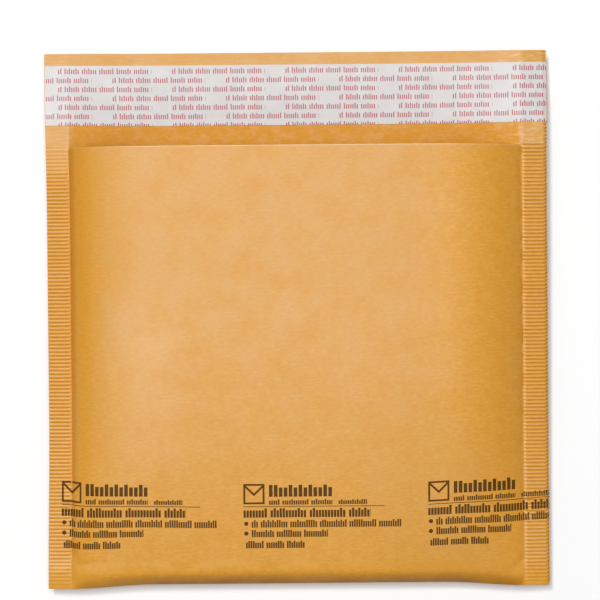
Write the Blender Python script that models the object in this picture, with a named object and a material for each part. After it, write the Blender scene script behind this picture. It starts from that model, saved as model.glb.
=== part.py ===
"""A padded envelope for a disc case, lying on its back with its pouch filled out and its lip open.

Units are metres. X runs across the envelope, Y from the bottom fold to the lip, Z up from the
surface that the back panel lies on. The origin is under the middle of the envelope.
"""

import math
from collections import namedtuple

import bmesh
import bpy
from mathutils import Vector
from mathutils.geometry import delaunay_2d_cdt

# The paper sheet
WIDTH = 0.205  # across both side seams
SEAM_WIDTH = 0.0105  # each crimped side seam
POUCH_LENGTH = 0.1795  # bottom fold to mouth
LIP_LENGTH = 0.039  # back panel past the mouth
PAPER = 0.00015  # one ply
WELD = 0.0005  # two plies and the film melted between them
WELD_EDGE = 0.0006  # how far the weld reaches in past the crimping
RIB_PITCH = 0.00151
RIB_DEPTH = 0.00045  # crest to valley

# The padding
BUBBLE_HEIGHT = 0.003  # a cell over its film
BUBBLE_PITCH = 0.0140  # between neighbouring cells
BUBBLE_CROWN = 0.0044  # radius of a cell's flat top
FILM = 0.0004  # film and the flattened skirts of its cells
CLEARANCE = 0.0003  # between one piece and the next
MOUTH_SETBACK = 0.001  # the film stops this short of the paper's mouth

# The room that the pouch has been filled out to
ROOM_AT_MOUTH = 0.0137  # between the cells, for a case 10.4 mm thick
ROOM_AT_FOLD = 0.0025
TAPER_LENGTH = 0.112  # from the bottom fold to where the front panel runs level
CREST = -0.004  # where the front panel is highest across
FULLNESS_LEFT = 8.0  # powers: a higher one swells the panel out nearer to its seam
FULLNESS_RIGHT = 6.2
WALL = 0.30  # the share of the left side's climb that stands steep beside the seam
WALL_WIDTH = 0.0030
SHOULDER_LEFT = 0.013  # from the seam to the flat of the back panel
SHOULDER_RIGHT = 0.021
FOLD_ROLL = 0.006  # how far the bottom fold takes to turn up
FOLD_SWELL = 2.0  # the power by which a panel climbs out of it
CRIMP_SWELL = 6.0  # the power by which a seam gains its thickness there
FOLD_DRAW = 0.0016  # how far a full pouch draws its fold in
FOLD_DRAW_SPREAD = 0.032  # the distance from a seam over which it does
FOLD_DRAW_LENGTH = 0.060  # the distance from the fold that it reaches
SIDE_DRAW_LEFT = 0.0008  # how far it draws a side in, halfway up
SIDE_DRAW_RIGHT = 0.0001
SIDE_DRAW_LENGTH = 0.070  # the distance from either end over which it does

# The height of the seams over the surface
SEAM_AT_FOLD = 0.0055
SEAM_AT_MOUTH = 0.0078
SEAM_AT_LIP_EDGE = 0.0056
SEAM_DROOP = 0.0008  # outer edge below inner edge
LIP_RISE = 0.0034  # the lip's free edge over the back panel
LIP_SHOULDER_GROWTH = 0.030  # how much wider its shoulders are than the pouch's
LIP_TURN = 0.012  # the distance from the mouth over which they widen

# The closure on the lip
STRIP_LENGTH = 0.0245  # along Y
STRIP_SETBACK = 0.005  # from the lip's free edge
STRIP_MARGIN = 0.0002  # from the envelope's outer edges
STRIP_THICKNESS = 0.0001
ADHESIVE_LENGTH = 0.020
ADHESIVE_THICKNESS = 0.0001
ADHESIVE_MARGIN = 0.0015  # from the envelope's outer edges

# How finely the sheets are stepped
LEFT_STEPS = (0.018, 0.045, 0.09, 0.16, 0.27, 0.45)  # shares of the way from seam to crest
RIGHT_STEPS = (0.04, 0.10, 0.18, 0.28, 0.42, 0.62)
CORNER_STEP = 0.003  # from a bottom corner of the film to its next column
ROLL_STEPS = 4
PANEL_ROWS = 7
RIBS_PER_EASING = 3  # crests between the rows of the column beside a seam
MERGE = 1e-6

LENGTH = POUCH_LENGTH + LIP_LENGTH
HALF_POCKET = WIDTH / 2 - SEAM_WIDTH
PADDING = PAPER + CLEARANCE + FILM + BUBBLE_HEIGHT
TOP_AT_MOUTH = ROOM_AT_MOUTH + 2 * PADDING
TOP_AT_FOLD = ROOM_AT_FOLD + 2 * PADDING
FRONT, BACK = 1, -1

Knot = namedtuple("Knot", "station vert")

# A skin is one face of a sheet: how deep it lies under the outside of the paper, how far it stops
# short of the seam, and half the thickness that it keeps in the seam.
Skin = namedtuple("Skin", "depth tuck weld")
PAPER_OUTSIDE = Skin(0.0, 0.0, WELD / 2)
PAPER_INSIDE = Skin(PAPER, WELD_EDGE, 0.0)
FILM_OUTSIDE = Skin(PAPER + CLEARANCE, WELD_EDGE + 2 * CLEARANCE, 0.0)
FILM_INSIDE = Skin(PAPER + CLEARANCE + FILM, WELD_EDGE + 2 * CLEARANCE + 2 * FILM, 0.0)


def ease(share):
    """A smooth step from 0 to 1."""
    share = min(max(share, 0.0), 1.0)
    return share * share * (3 - 2 * share)


def top_height(v):
    """The height of the front panel's crest, v along from the bottom fold."""
    short = max(1 - v / TAPER_LENGTH, 0.0)
    return TOP_AT_MOUTH - (TOP_AT_MOUTH - TOP_AT_FOLD) * short ** 2


def seam_height(v):
    """The height of the side seams, v along from the bottom fold."""
    if v <= POUCH_LENGTH:
        return SEAM_AT_FOLD + (SEAM_AT_MOUTH - SEAM_AT_FOLD) * ease(v / POUCH_LENGTH)
    return SEAM_AT_MOUTH + (SEAM_AT_LIP_EDGE - SEAM_AT_MOUTH) * ease((v - POUCH_LENGTH) / LIP_LENGTH)


def quarter_wave(share):
    """A climb from 0 to 1 that starts steep and ends level."""
    return math.sin(math.pi / 2 * min(max(share, 0.0), 1.0))


def front_climb(x, skin):
    """How far the front panel has left its seam at x: 0 in the seam, 1 on its crest."""
    half = HALF_POCKET - skin.tuck
    if x > CREST:
        short = min((x - CREST) / (half - CREST), 1.0)
        return 1 - short ** FULLNESS_RIGHT
    short = min((CREST - x) / (half + CREST), 1.0)
    return WALL * quarter_wave((half + x) / WALL_WIDTH) + (1 - WALL) * (1 - short ** FULLNESS_LEFT)


def back_climb(x, v, skin):
    """How far the back panel or the lip has left its seam at x: 0 in the seam, 1 on its flat."""
    width = (SHOULDER_LEFT if x < 0 else SHOULDER_RIGHT) - skin.tuck
    width += LIP_SHOULDER_GROWTH * min(max(v - POUCH_LENGTH, 0.0) / LIP_TURN, 1.0)
    return quarter_wave((HALF_POCKET - skin.tuck - abs(x)) / width)


def roll(v, skin, power):
    """How far the sheet has turned up out of the bottom fold: 0 in the fold, 1 past it."""
    share = min(max((v - skin.depth) / (FOLD_ROLL - skin.depth), 0.0), 1.0)
    return 1 - (1 - share) ** power


def fold_draw(x, v):
    """How far the fullness of the pouch draws the paper away from its flat outline."""
    across = ease((HALF_POCKET - abs(x)) / FOLD_DRAW_SPREAD)
    along = ease(1 - v / FOLD_DRAW_LENGTH)
    return FOLD_DRAW * across * along


def side_draw(x, v):
    """How far the fullness of the pouch draws a side of the paper in."""
    draw = SIDE_DRAW_LEFT if x < 0 else SIDE_DRAW_RIGHT
    return draw * ease(v / SIDE_DRAW_LENGTH) * ease((LENGTH - v) / SIDE_DRAW_LENGTH)


def point(x, v, side, skin, rib=0.0):
    """The place of a point of a skin, x across and v along from the bottom fold."""
    turned = roll(v, skin, FOLD_SWELL)
    crimped = seam_height(v) + roll(v, skin, CRIMP_SWELL) * (side * skin.weld + rib)
    droop = SEAM_DROOP * max(abs(x) - HALF_POCKET, 0.0) / SEAM_WIDTH
    if side == FRONT:
        flat, climb = top_height(v) - skin.depth, front_climb(x, skin)
    else:
        flat = skin.depth + LIP_RISE * quarter_wave((v - POUCH_LENGTH) / LIP_LENGTH)
        climb = back_climb(x, v, skin)
    z = crimped - droop + (flat - crimped) * climb * turned
    drawn_x = x * (1 - side_draw(x, v) / HALF_POCKET)
    return Vector((drawn_x, v + fold_draw(x, v) - LENGTH / 2, z))


def columns(skin):
    """The stations across the pocket of a skin, from seam to seam."""
    half = HALF_POCKET - skin.tuck
    left = [-half + step * (half + CREST) for step in (0.0, *LEFT_STEPS)]
    right = [half - step * (half - CREST) for step in (0.0, *RIGHT_STEPS)]
    return [*left, CREST, *right[::-1]]


def pouch_rows(skin, end=POUCH_LENGTH):
    """The stations along the pouch of a skin, closer together in the fold."""
    turn = FOLD_ROLL - skin.depth
    rows = [skin.depth + turn * (1 - math.cos(math.pi / 2 * i / ROLL_STEPS)) for i in range(ROLL_STEPS)]
    return rows + [FOLD_ROLL + (end - FOLD_ROLL) * i / PANEL_ROWS for i in range(PANEL_ROWS + 1)]


def strip_span():
    """Where the release strip starts and ends along the lip."""
    end = LENGTH - STRIP_SETBACK
    return end - STRIP_LENGTH, end


def adhesive_span():
    """Where the adhesive starts and ends, centred under its strip."""
    middle = LENGTH - STRIP_SETBACK - STRIP_LENGTH / 2
    return middle - ADHESIVE_LENGTH / 2, middle + ADHESIVE_LENGTH / 2


def lip_rows():
    """The stations along the lip, with one at each edge of what lies on it."""
    start, end = adhesive_span()
    return sorted([POUCH_LENGTH, *strip_span(), start, (start + end) / 2, end, LENGTH])


def rib_rows():
    """The crests and valleys of the crimping, in turn, as places along the seam and heights."""
    count = 2 * round(POUCH_LENGTH / RIB_PITCH)
    ribs = [(POUCH_LENGTH * i / count, RIB_DEPTH / 2 * (-1) ** i) for i in range(count)]
    return [*ribs, (POUCH_LENGTH, 0.0)]


def chain(bm, stations, places):
    """A row of vertices along a section of a sheet, each with the station that it stands at."""
    return [Knot(station, bm.verts.new(place)) for station, place in zip(stations, places)]


def across(knots):
    """The same vertices with their places across the envelope as stations."""
    return [Knot(knot.vert.co.x, knot.vert) for knot in knots]


def bridge(bm, a, b):
    """Lay triangles between two chains, always along the one that lags behind.

    Where neither does, the chain nearer the middle goes first. The two faces of a sheet then
    have the same diagonals, and at a corner of the pouch, where both panels share their
    outermost knots, each panel's triangles stay its own.
    """
    a_is_inner = abs(a[0].vert.co.x) < abs(b[0].vert.co.x)
    i = j = 0
    while i < len(a) - 1 or j < len(b) - 1:
        if i == len(a) - 1 or j == len(b) - 1:
            along_a = j == len(b) - 1
        else:
            lead = a[i].station - b[j].station
            along_a = lead < -MERGE or (lead <= MERGE and a_is_inner)
        corner = a[i + 1] if along_a else b[j + 1]
        bm.faces.new((a[i].vert, b[j].vert, corner.vert))
        i, j = (i + 1, j) if along_a else (i, j + 1)


def loft(bm, chains):
    for a, b in zip(chains, chains[1:]):
        bridge(bm, a, b)


def close(bm):
    """Join the sheets where they meet, and turn all faces outwards."""
    bmesh.ops.remove_doubles(bm, verts=bm.verts, dist=MERGE)
    bmesh.ops.dissolve_degenerate(bm, dist=MERGE, edges=bm.edges)
    bmesh.ops.recalc_face_normals(bm, faces=bm.faces)


def finish(bm, name, material, collection):
    mesh = bpy.data.meshes.new(name)
    bm.to_mesh(mesh)
    bm.free()
    mesh.materials.append(material)
    mesh.shade_smooth()
    mesh.set_sharp_from_angle(angle=math.radians(30))
    part = bpy.data.objects.new(name, mesh)
    collection.objects.link(part)
    return part


def make_material(name, colour, roughness):
    material = bpy.data.materials.new(name)
    material.use_nodes = True
    shader = material.node_tree.nodes["Principled BSDF"]
    shader.inputs["Base Color"].default_value = (*colour, 1.0)
    shader.inputs["Roughness"].default_value = roughness
    shader.inputs["Metallic"].default_value = 0.0
    return material


def paper_outer_chains(bm, side):
    """The outside of one panel, from seam edge to seam edge."""
    ribs = rib_rows()
    lip = lip_rows()[1:] if side == BACK else []
    rows = pouch_rows(PAPER_OUTSIDE) + lip
    crimped_rows = [v for v, _ in ribs] + lip
    stations = columns(PAPER_OUTSIDE)
    beside_seam = (stations[1], stations[-2])
    easing = [v for v in crimped_rows[:: 2 * RIBS_PER_EASING] if FOLD_ROLL < v < POUCH_LENGTH]
    eased_rows = pouch_rows(PAPER_OUTSIDE)[: ROLL_STEPS + 1] + easing + [POUCH_LENGTH] + lip
    chains = []
    for x in [-WIDTH / 2, *stations, WIDTH / 2]:
        if abs(x) < HALF_POCKET - MERGE:
            own = eased_rows if x in beside_seam else rows
            chains.append(chain(bm, own, [point(x, v, side, PAPER_OUTSIDE) for v in own]))
        else:
            places = [point(x, v, side, PAPER_OUTSIDE, rib) for v, rib in ribs]
            places += [point(x, v, side, PAPER_OUTSIDE) for v in lip]
            chains.append(chain(bm, crimped_rows, places))
    return chains


def inner_chains(bm, stations, rows, side):
    """Part of the paper's inner face."""
    return [chain(bm, rows, [point(x, v, side, PAPER_INSIDE) for v in rows]) for x in stations]


def build_paper(collection):
    """One sheet, folded at the bottom and welded to itself down both sides."""
    bm = bmesh.new()
    front = paper_outer_chains(bm, FRONT)
    back = paper_outer_chains(bm, BACK)
    pocket = columns(PAPER_INSIDE)
    inside_front = inner_chains(bm, pocket, pouch_rows(PAPER_INSIDE), FRONT)
    inside_back = inner_chains(bm, pocket, pouch_rows(PAPER_INSIDE), BACK)
    lip = inner_chains(bm, [-WIDTH / 2, *pocket, WIDTH / 2], lip_rows(), BACK)
    for skin in (front, back, inside_front, inside_back, lip):
        loft(bm, skin)
    mouth_inside = [lip[0][0]] + [c[-1] for c in inside_front] + [lip[-1][0]]
    bridge(bm, across([c[-1] for c in front]), across(mouth_inside))
    bridge(bm, across([c[-1] for c in back]), across([c[-1] for c in lip]))
    mouth_knot = len(rib_rows()) - 1
    for edge in (0, -1):
        bridge(bm, front[edge], back[edge][: mouth_knot + 1])
        step = (front[edge][-1], back[edge][mouth_knot], lip[edge][0])
        bm.faces.new([knot.vert for knot in step])
        bridge(bm, back[edge][mouth_knot:], lip[edge])
    close(bm)
    kraft = make_material("kraft_paper", (0.62, 0.29, 0.05), 0.5)
    return finish(bm, "outer_paper", kraft, collection)


def fold_arc():
    """The length of film that a quarter of the bottom fold takes up."""
    turn = FOLD_ROLL - FILM_INSIDE.depth
    return math.pi / 2 * math.hypot(turn, TOP_AT_FOLD / 2) / math.sqrt(2)


def film_point(x, s):
    """A point of the film's cell side, s along the flat film from its fold, front panel positive."""
    share = min(abs(s) / fold_arc(), 1.0)
    turn = FOLD_ROLL - FILM_INSIDE.depth
    v = FILM_INSIDE.depth + turn * (1 - math.cos(math.pi / 2 * share)) + max(abs(s) - fold_arc(), 0.0)
    return point(x, v, FRONT if s >= 0 else BACK, FILM_INSIDE)


def cell_height(x, s):
    """A cell's height: full, or what the two walls leave it where they close up at a seam."""
    spots = [(x, s), *ring(x, s, BUBBLE_CROWN)]
    half_gap = min(abs(film_point(a, b).z - film_point(a, -b).z) for a, b in spots) / 2
    return max(min(BUBBLE_HEIGHT, half_gap - CLEARANCE), 0.0)


def cell_top(x, s, height):
    """The place at a height over the film, square to it and towards the inside of the pouch."""
    step = CLEARANCE
    across = film_point(x + step, s) - film_point(x - step, s)
    along = film_point(x, s + step) - film_point(x, s - step)
    return film_point(x, s) - across.cross(along).normalized() * height


def cell_centres(half, start, end):
    """A honeycomb of cell centres on the flat film of the front panel."""
    row_pitch = BUBBLE_PITCH * math.sqrt(3) / 2
    margin = BUBBLE_PITCH / math.sqrt(3) + CLEARANCE
    row_count = int((end - start - 2 * margin) / row_pitch) + 1
    first = (start + end - (row_count - 1) * row_pitch) / 2
    for row in range(row_count):
        shift = BUBBLE_PITCH / 2 * (row % 2)
        reach = int((half - margin - shift) / BUBBLE_PITCH)
        for i in range(-reach - (row % 2), reach + 1):
            yield i * BUBBLE_PITCH + shift, first + row * row_pitch


def ring(x, s, radius):
    """The six corners round a cell."""
    turns = [math.radians(30 + 60 * i) for i in range(6)]
    return [(x + radius * math.cos(turn), s + radius * math.sin(turn)) for turn in turns]


def film_inner_skin(bm, rim):
    """The cell side of the film, meshed as flat film and then folded. It gives back its two rims."""
    half = HALF_POCKET - FILM_INSIDE.tuck
    arc = fold_arc()
    stations = 2 * round(half / BUBBLE_PITCH)
    across_stations = [half * (2 * i / stations - 1) for i in range(stations + 1)]
    across_stations = sorted([*across_stations, CORNER_STEP - half, half - CORNER_STEP])
    lengths = round((rim - arc) / BUBBLE_PITCH)
    down = [arc + (rim - arc) * i / lengths for i in range(1, lengths)]
    rows = (-rim, -arc, -arc / 2, 0.0, arc / 2, arc, rim)
    plan = [(x, s) for s in rows for x in across_stations]
    plan += [(x, s * side) for s in down for x in (-half, half) for side in (FRONT, BACK)]
    heights = [0.0] * len(plan)
    # A corner of the fold is stiffened towards the next station, so that each panel keeps its own faces.
    fold_row = 3 * len(across_stations)
    edges = []
    last = len(across_stations) - 1
    for corner, neighbour in ((0, 1), (last, last - 1)):
        for row in (2, 4):
            edges.append((fold_row + corner, row * len(across_stations) + neighbour))
    for x, s in cell_centres(half, arc, rim):
        for side in (FRONT, BACK):
            height = cell_height(x, s * side)
            base = len(plan)
            plan += ring(x, s * side, BUBBLE_PITCH / math.sqrt(3)) + ring(x, s * side, BUBBLE_CROWN)
            heights += [0.0] * 6 + [height] * 6
            for i in range(6):
                following = (i + 1) % 6
                edges.append((base + i, base + following))
                edges.append((base + 6 + i, base + 6 + following))
                edges.append((base + i, base + 6 + i))
    flat, _, faces, sources, _, _ = delaunay_2d_cdt([Vector(p) for p in plan], edges, [], 0, MERGE)
    verts = []
    for spot, source in zip(flat, sources):
        height = heights[source[0]]
        verts.append(bm.verts.new(cell_top(*spot, height) if height else film_point(*spot)))
    for face in faces:
        bm.faces.new([verts[i] for i in face])
    rims = []
    for side in (FRONT, BACK):
        rim_verts = [v for v, spot in zip(verts, flat) if abs(spot.y - side * rim) < MERGE]
        rims.append(sorted((Knot(v.co.x, v) for v in rim_verts), key=lambda knot: knot.station))
    return rims


def build_liner(collection):
    """One sheet of air-cell film, folded with the paper, its cells facing each other."""
    bm = bmesh.new()
    end = POUCH_LENGTH - MOUTH_SETBACK
    rows = pouch_rows(FILM_OUTSIDE, end)
    rims = film_inner_skin(bm, fold_arc() + end - FOLD_ROLL)
    for side, rim in zip((FRONT, BACK), rims):
        skin = [
            chain(bm, rows, [point(x, v, side, FILM_OUTSIDE) for v in rows])
            for x in columns(FILM_OUTSIDE)
        ]
        loft(bm, skin)
        bridge(bm, across([c[-1] for c in skin]), rim)
    close(bm)
    film = make_material("air_cell_film", (0.80, 0.83, 0.85), 0.25)
    return finish(bm, "bubble_liner", film, collection)


def build_lip_layer(collection, name, rows, margin, lift, thickness, material):
    """A flat band across the lip, which follows the lip's inner face."""
    bm = bmesh.new()
    edge = WIDTH / 2 - margin
    stations = [-edge] + columns(PAPER_INSIDE) + [edge]
    faces = []
    for height in (lift, lift + thickness):
        rise = Vector((0.0, 0.0, height))
        face = [
            chain(bm, rows, [point(x, v, BACK, PAPER_INSIDE) + rise for v in rows])
            for x in stations
        ]
        loft(bm, face)
        faces.append(face)
    under, over = faces
    for end in (0, -1):
        bridge(bm, under[end], over[end])
        bridge(bm, across([c[end] for c in under]), across([c[end] for c in over]))
    close(bm)
    return finish(bm, name, material, collection)


def build_closure(collection):
    """The adhesive on the lip, and the strip that covers it until the envelope is closed."""
    rows = lip_rows()
    adhesive_start, adhesive_end = adhesive_span()
    strip_start, strip_end = strip_span()
    glue = make_material("hot_melt_adhesive", (0.86, 0.80, 0.62), 0.35)
    release = make_material("release_paper", (0.80, 0.82, 0.83), 0.4)
    glue_rows = [v for v in rows if adhesive_start <= v <= adhesive_end]
    strip_rows = [v for v in rows if strip_start <= v <= strip_end]
    build_lip_layer(
        collection, "adhesive_band", glue_rows, ADHESIVE_MARGIN, CLEARANCE, ADHESIVE_THICKNESS, glue
    )
    lift = ADHESIVE_THICKNESS + 2 * CLEARANCE
    build_lip_layer(
        collection, "release_strip", strip_rows, STRIP_MARGIN, lift, STRIP_THICKNESS, release
    )


def main():
    for old in list(bpy.data.objects):
        bpy.data.objects.remove(old, do_unlink=True)
    collection = bpy.data.collections.new("padded_envelope")
    bpy.context.scene.collection.children.link(collection)
    build_paper(collection)
    build_liner(collection)
    build_closure(collection)


main()
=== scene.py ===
# %% [markdown]
# # A padded paper mailer
#
# The real thing is one sheet of golden kraft paper, folded at the bottom and welded to itself
# down both sides, with a bag of air-cell film inside and a glue band under a release strip on
# its lip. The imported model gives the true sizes. This lesson lays finer sheets in the same
# places and gives them their finish.
#
# Lengths are metres. X runs across the mailer, Y from the bottom fold to the lip, Z up.

import math

import bmesh
import bpy
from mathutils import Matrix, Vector, noise


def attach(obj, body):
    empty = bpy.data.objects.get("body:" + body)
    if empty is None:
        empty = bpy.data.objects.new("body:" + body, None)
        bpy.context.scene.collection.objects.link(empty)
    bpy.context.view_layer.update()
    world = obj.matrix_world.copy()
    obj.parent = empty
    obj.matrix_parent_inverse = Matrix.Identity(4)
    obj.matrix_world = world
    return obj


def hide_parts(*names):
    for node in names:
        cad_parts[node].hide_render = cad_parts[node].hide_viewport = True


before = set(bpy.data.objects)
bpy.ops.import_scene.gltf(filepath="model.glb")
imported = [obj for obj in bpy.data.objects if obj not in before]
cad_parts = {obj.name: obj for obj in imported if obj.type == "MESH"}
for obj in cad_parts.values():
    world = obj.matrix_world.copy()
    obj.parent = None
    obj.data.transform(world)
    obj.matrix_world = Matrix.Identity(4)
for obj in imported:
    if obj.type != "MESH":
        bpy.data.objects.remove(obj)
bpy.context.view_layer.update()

# %% [markdown]
# ## The camera
#
# A flat pack is photographed from straight above, on a stand, with a long lens. We could aim
# with a Track To constraint, but a camera that has no rotation at all already looks down. It is
# turned by half a degree, because the mailer lay a little askew under it.

# %% Look straight down
LENS = 130.0  # millimetres
SENSOR = 36.0  # millimetres
VIEW_WIDTH = 0.2445  # the width that the picture takes in
VIEW_MIDDLE = (0.00115, 0.0079)
SEAM_LEVEL = 0.007  # the height at which that width is measured
ASKEW = math.radians(-0.5)

camera = bpy.data.objects.new("camera", bpy.data.cameras.new("camera"))
bpy.context.scene.collection.objects.link(camera)
camera.data.lens = LENS
camera.data.sensor_width = SENSOR
camera.location = (*VIEW_MIDDLE, SEAM_LEVEL + VIEW_WIDTH * LENS / SENSOR)
camera.rotation_euler = (0, 0, ASKEW)
bpy.context.scene.camera = camera
print("Camera", round(camera.location.z, 3), "m above the table")

# %% [markdown]
# ## Light
#
# Calendered kraft has a soft sheen: where it faces a large light it looks pale, and where it
# slopes away its own orange shows. So the main light is one big softbox over the mailer, set
# towards the top edge, and a small strong one, high up at the upper left, draws the short shadow
# at the right and below. A sun lamp would be simpler, but it has no width, and so no sheen. The
# room gives little light, and only the camera sees it white.

# %% Two softboxes and a dim room
def softbox(name, place, width, height, radiance):
    """A rectangular lamp that faces the mailer, equally bright all over."""
    lamp = bpy.data.lights.new(name, "AREA")
    lamp.shape = "RECTANGLE"
    lamp.size, lamp.size_y = width, height
    lamp.energy = radiance * math.pi * width * height
    holder = bpy.data.objects.new(name, lamp)
    holder.location = place
    holder.rotation_euler = (-Vector(place)).to_track_quat("-Z", "Y").to_euler()
    bpy.context.scene.collection.objects.link(holder)
    print(name, "gives", round(lamp.energy, 1), "W from", round(holder.location.length, 2), "m away")


softbox("overhead_softbox", (-0.08, 0.30, 2.60), width=1.70, height=1.60, radiance=5.3)
softbox("key_softbox", (-1.04, 1.72, 3.00), width=0.74, height=0.74, radiance=33.0)
ROOM_LIGHT = 0.16

world = bpy.data.worlds.new("room")
bpy.context.scene.world = world
world.use_nodes = True
room = world.node_tree
seen = room.nodes.new("ShaderNodeLightPath")
level = room.nodes.new("ShaderNodeMapRange")
level.inputs["To Min"].default_value = ROOM_LIGHT
level.inputs["To Max"].default_value = 1.0
room.links.new(seen.outputs["Is Camera Ray"], level.inputs["Value"])
room.links.new(level.outputs[0], room.nodes["Background"].inputs["Strength"])
room.nodes["Background"].inputs["Color"].default_value = (1, 1, 1, 1)
bpy.context.scene.view_settings.view_transform = "Standard"

# %% [markdown]
# ## The table
#
# The table is white. Light on it from the lamps alone would leave it grey, and more light would
# bleach the paper, so its material shines a little for the camera only. The shadow stays.

# %% A white table
TABLE_GLOW = 0.03
TABLE_SIZE, TABLE_DROP = 6.0, 0.00005  # the top lies a hair under the mailer

bpy.ops.object.select_all(action="DESELECT")
bpy.ops.mesh.primitive_plane_add(size=TABLE_SIZE, location=(0, 0, -TABLE_DROP))
table = bpy.context.object
table.name = "table"
coating = bpy.data.materials.new("table_coating")
coating.use_nodes = True
nodes, links = coating.node_tree.nodes, coating.node_tree.links
shader = nodes["Principled BSDF"]
shader.inputs["Base Color"].default_value = (0.88, 0.88, 0.88, 1)
shader.inputs["Roughness"].default_value = 0.9
shader.inputs["Specular IOR Level"].default_value = 0.0
shader.inputs["Emission Color"].default_value = (1, 1, 1, 1)
seen = nodes.new("ShaderNodeLightPath")
glow = nodes.new("ShaderNodeMath")
glow.operation = "MULTIPLY"
glow.inputs[1].default_value = TABLE_GLOW
links.new(seen.outputs["Is Camera Ray"], glow.inputs[0])
links.new(glow.outputs[0], shader.inputs["Emission Strength"])
table.data.materials.append(coating)
print("Table", round(table.dimensions.x, 2), "m wide")

# %% [markdown]
# ## The form of the filled pouch
#
# Every sheet of the mailer follows one form: crimped seams that stand off the table, a front
# panel that domes between them and is lower at the fold than at the mouth, a back panel that
# lies on the table between its shoulders, and a lip that rises a little past the mouth. A cloth
# simulation with pressure could blow up a flat bag, but stiff paper hardly stretches, and the
# solids already have their form. So one function gives the place of any point of a sheet, from
# x across and v along from the bottom fold.

# %% Sizes of the pouch
WIDTH = 0.205
SEAM_WIDTH = 0.0105
POUCH_LENGTH = 0.1795
LIP_LENGTH = 0.039
LENGTH = POUCH_LENGTH + LIP_LENGTH
HALF_POCKET = WIDTH / 2 - SEAM_WIDTH
LEFT_POCKET = HALF_POCKET + 0.0010  # the full pouch hides the inner edge of its left seam
TOP_AT_MOUTH = 0.0214
TOP_AT_FOLD = 0.0102
TAPER_LENGTH = 0.112
SHOULDER_LEFT, SHOULDER_RIGHT = 0.013, 0.021  # how wide the back panel's shoulders are
LIP_SHOULDER_GROWTH, LIP_TURN = 0.030, 0.012  # how much wider on the lip, and how soon
CREST = -0.004  # where the front panel is highest across
FULLNESS_LEFT, FULLNESS_RIGHT = 8.0, 6.2  # a higher number makes a flatter dome with steeper sides
LEFT_WALL, LEFT_WALL_WIDTH = 0.30, 0.0042  # the share of its height that the left side climbs at once
FOLD_ROLL = 0.006  # how far from the fold a sheet has turned flat
FOLD_DRAW, FOLD_DRAW_SPREAD, FOLD_DRAW_LENGTH = 0.0016, 0.032, 0.060  # a full pouch draws the fold up
LEFT_DRAW, RIGHT_DRAW, SIDE_DRAW_LENGTH = 0.0008, 0.0001, 0.070  # and its sides in
SEAM_AT_FOLD, SEAM_AT_MOUTH, SEAM_AT_LIP_EDGE = 0.0055, 0.0078, 0.0056
SEAM_DROOP = 0.0008  # at a seam's outer edge
LIP_RISE = 0.0034
FRONT, BACK = 1, -1


def ease(share):
    """A smooth step from 0 to 1."""
    share = min(max(share, 0.0), 1.0)
    return share * share * (3 - 2 * share)


def top_height(v):
    """How high the crest of the front panel is."""
    return TOP_AT_MOUTH - (TOP_AT_MOUTH - TOP_AT_FOLD) * max(1 - v / TAPER_LENGTH, 0.0) ** 2


def seam_height(v):
    """How high the middle of a seam is."""
    if v <= POUCH_LENGTH:
        return SEAM_AT_FOLD + (SEAM_AT_MOUTH - SEAM_AT_FOLD) * ease(v / POUCH_LENGTH)
    return SEAM_AT_MOUTH + (SEAM_AT_LIP_EDGE - SEAM_AT_MOUTH) * ease((v - POUCH_LENGTH) / LIP_LENGTH)


def pocket_edge(x):
    """How far from the middle the pouch ends, on the side of x."""
    return LEFT_POCKET if x < 0 else HALF_POCKET


def shoulder(x, v, side, tuck):
    """How far a sheet has left its seam: 0 in the seam, 1 on its flat or its crest."""
    reach = max(pocket_edge(x) - tuck - abs(x), 0.0)
    if side == FRONT:
        left = x < CREST
        edge = (LEFT_POCKET if left else HALF_POCKET) - tuck
        run = (edge + x) / (edge + CREST) if left else (edge - x) / (edge - CREST)
        climb = 1 - (1 - min(max(run, 0.0), 1.0)) ** (FULLNESS_LEFT if left else FULLNESS_RIGHT)
        if left:
            wall = math.sin(math.pi / 2 * min(reach / LEFT_WALL_WIDTH, 1.0))
            climb = LEFT_WALL * wall + (1 - LEFT_WALL) * climb
        return climb
    width = (SHOULDER_LEFT if x < 0 else SHOULDER_RIGHT) - tuck
    width += LIP_SHOULDER_GROWTH * ease((v - POUCH_LENGTH + LIP_TURN) / (2 * LIP_TURN))
    return math.sin(math.pi / 2 * min(reach / width, 1.0))


def side_draw(x, v):
    """How far a full pouch draws a side in, from its flat outline."""
    drawn = LEFT_DRAW if x < 0 else RIGHT_DRAW
    return drawn * ease(v / SIDE_DRAW_LENGTH) * ease((LENGTH - v) / SIDE_DRAW_LENGTH)


print("Seams", seam_height(0.0), "m up at the fold,", seam_height(POUCH_LENGTH), "m at the mouth")

# %% [markdown]
# The paper of a real mailer is never quite smooth. It has long shallow waves where the pouch is
# full, a fold that rolls up unevenly, and short creases where a full pouch pulls at its seams.
# They are small moves of the same points, so that they show in every light and from every side.

# %% Waves and creases
WAVE_HEIGHT = 0.00016
WAVES_PER_METRE = 38.0
ROLL_UNEVENNESS = 0.30
FOLD_SWELL = 2.0  # how fast a panel climbs out of the fold
CRIMP_SWELL = 6.0  # how fast a seam gains its thickness there
CREASE_HALF_WIDTH = 0.0011
# Each crease: its two ends, x and v, and how deep it is.
CREASES = [
    ((-0.0935, 0.046), (-0.0885, 0.035), 0.00045),
    ((-0.0930, 0.016), (-0.0865, 0.004), 0.00060),
    ((-0.0915, 0.009), (-0.0840, 0.011), 0.00035),
    ((0.0925, 0.012), (0.0850, 0.004), 0.00050),
    ((0.0920, 0.030), (0.0840, 0.024), 0.00030),
]


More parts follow.
